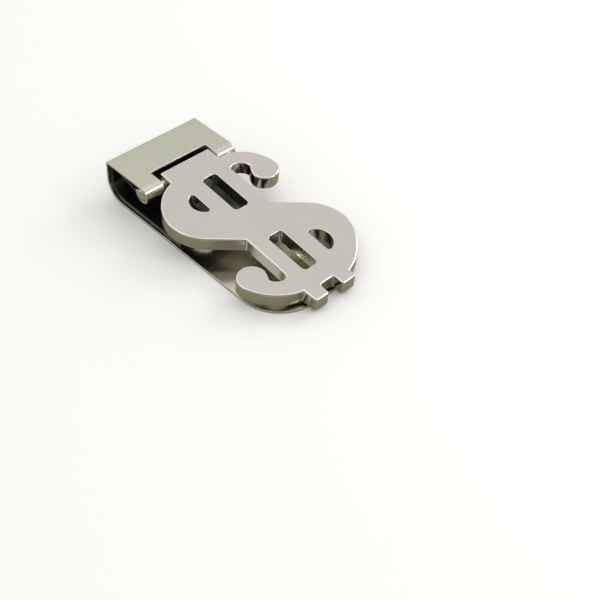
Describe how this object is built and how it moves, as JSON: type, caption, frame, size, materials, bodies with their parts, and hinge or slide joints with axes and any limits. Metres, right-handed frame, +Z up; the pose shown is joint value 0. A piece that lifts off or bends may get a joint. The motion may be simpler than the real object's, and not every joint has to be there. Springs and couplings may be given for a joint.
{
  "type": "money clip",
  "caption": "Hinged money clip: a bent sheet body with rolled hinge ears and a sprung lever cut as a dollar sign that clamps folded notes.",
  "frame": {"origin": "centre of the base's flat underside", "axes": "+Z up out of the base; the hinge runs along X; the spine is at +Y and the lever's nose points to -Y"},
  "size_m": [0.0282, 0.0533, 0.009],
  "materials": {
    "polished_sheet": "polished plated sheet",
    "polished_plate": "polished plated plate",
    "stud_steel": "bright turned steel",
    "blued_spring_steel": "dark blued spring steel"
  },
  "bodies": {
    "body": {"clip_body": "polished_sheet", "hinge_stud_left": "stud_steel", "hinge_stud_right": "stud_steel", "leaf_spring": "blued_spring_steel"},
    "lever": {"dollar_lever": "polished_plate"}
  },
  "joints": [
    {"name": "lever_hinge", "type": "hinge", "parent": "body", "child": "lever", "pos_m": [0, 0.01375, 0.00715], "axis": [-1, 0, 0], "range_deg": [0, 98], "stiffness_Nm_per_rad": 0.05, "springref_deg": -28.65, "deforming": ["leaf_spring"]}
  ]
}
